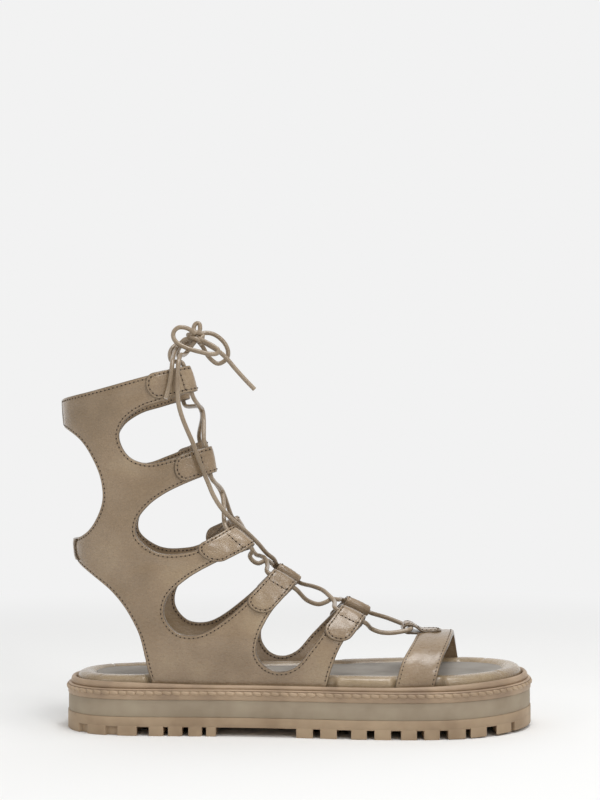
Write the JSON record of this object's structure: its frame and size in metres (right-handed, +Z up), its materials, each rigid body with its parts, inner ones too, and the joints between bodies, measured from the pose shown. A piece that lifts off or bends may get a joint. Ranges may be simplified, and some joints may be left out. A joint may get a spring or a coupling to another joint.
{
  "type": "gladiator sandal",
  "caption": "Flat laced gladiator sandal with a cut-out leather shaft, a toe strap, folded lace loops and a chunky lugged platform sole.",
  "frame": {"origin": "middle of the footprint, on the floor under the sole", "axes": "+X to the toe, +Y to the inner (medial) side of a right foot, +Z up"},
  "size_m": [0.2712, 0.0984, 0.2333],
  "materials": {
    "leather": "smooth semi-gloss taupe leather with fine grain",
    "lace": "thin round leather cord, taupe, satin",
    "sock": "matt grey-taupe sock lining",
    "welt_rubber": "satin tan moulded rubber with lock stitches",
    "midsole_foam": "matt taupe moulded foam",
    "outsole_rubber": "matt tan moulded rubber with lugs"
  },
  "bodies": {
    "root": {"outsole": "outsole_rubber", "midsole": "midsole_foam", "welt": "welt_rubber", "footbed": "leather", "sock_lining": "sock", "upper": "leather", "toe_strap": "leather", "loop_outer_1": "leather", "loop_inner_1": "leather", "loop_outer_2": "leather", "loop_inner_2": "leather", "loop_outer_3": "leather", "loop_inner_3": "leather", "loop_outer_4": "leather", "loop_inner_4": "leather", "loop_outer_5": "leather", "loop_inner_5": "leather", "loop_toe": "leather", "lace_crossed": "lace", "lace_bow": "lace", "lace_short": "lace", "lace_long": "lace"}
  },
  "joints": []
}
